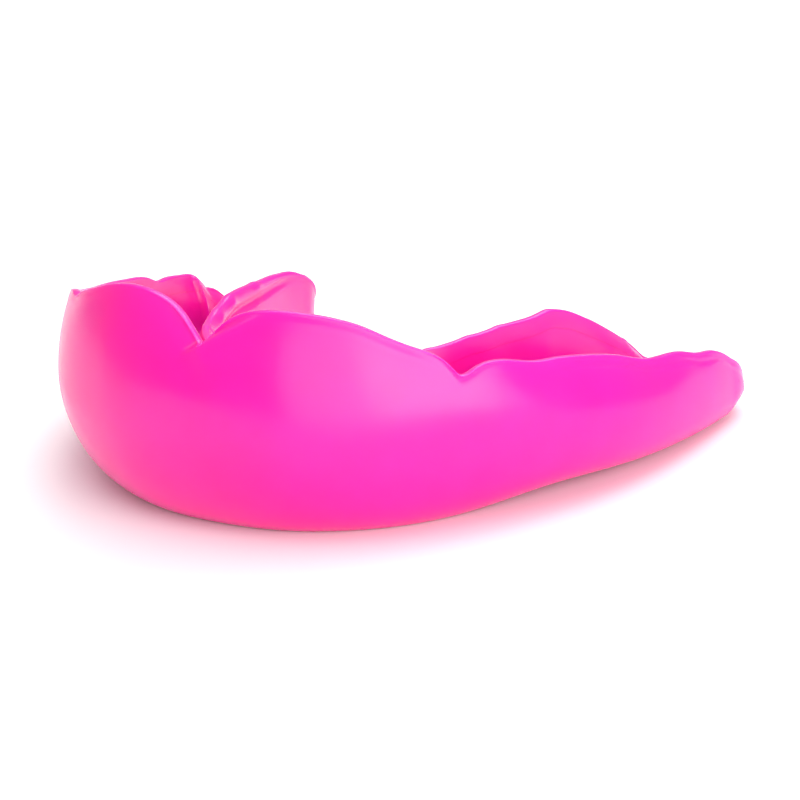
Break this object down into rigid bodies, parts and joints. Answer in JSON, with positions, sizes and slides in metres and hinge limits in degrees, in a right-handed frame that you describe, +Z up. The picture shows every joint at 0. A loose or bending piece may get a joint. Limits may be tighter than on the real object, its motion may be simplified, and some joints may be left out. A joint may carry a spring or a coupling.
{
  "type": "mouthguard",
  "caption": "Upper-jaw martial arts mouthguard of laminated EVA, with a trough for the teeth, raised front lobes, lip notches and low rounded back ends.",
  "frame": {"origin": "middle of the footprint, on the surface that the guard rests on", "axes": "+X across the jaw towards the wearer's left, +Y from the front teeth to the back, +Z up, towards the gums, out of the trough"},
  "size_m": [0.0636, 0.0526, 0.0221],
  "materials": {
    "outer_eva": "satin hot-pink soft EVA",
    "liner_eva": "matte hot-pink soft EVA",
    "insert_plastic": "translucent hard EVA"
  },
  "bodies": {
    "root": {"outer_shell": "outer_eva", "inner_liner": "liner_eva", "front_insert": "insert_plastic"}
  },
  "joints": []
}
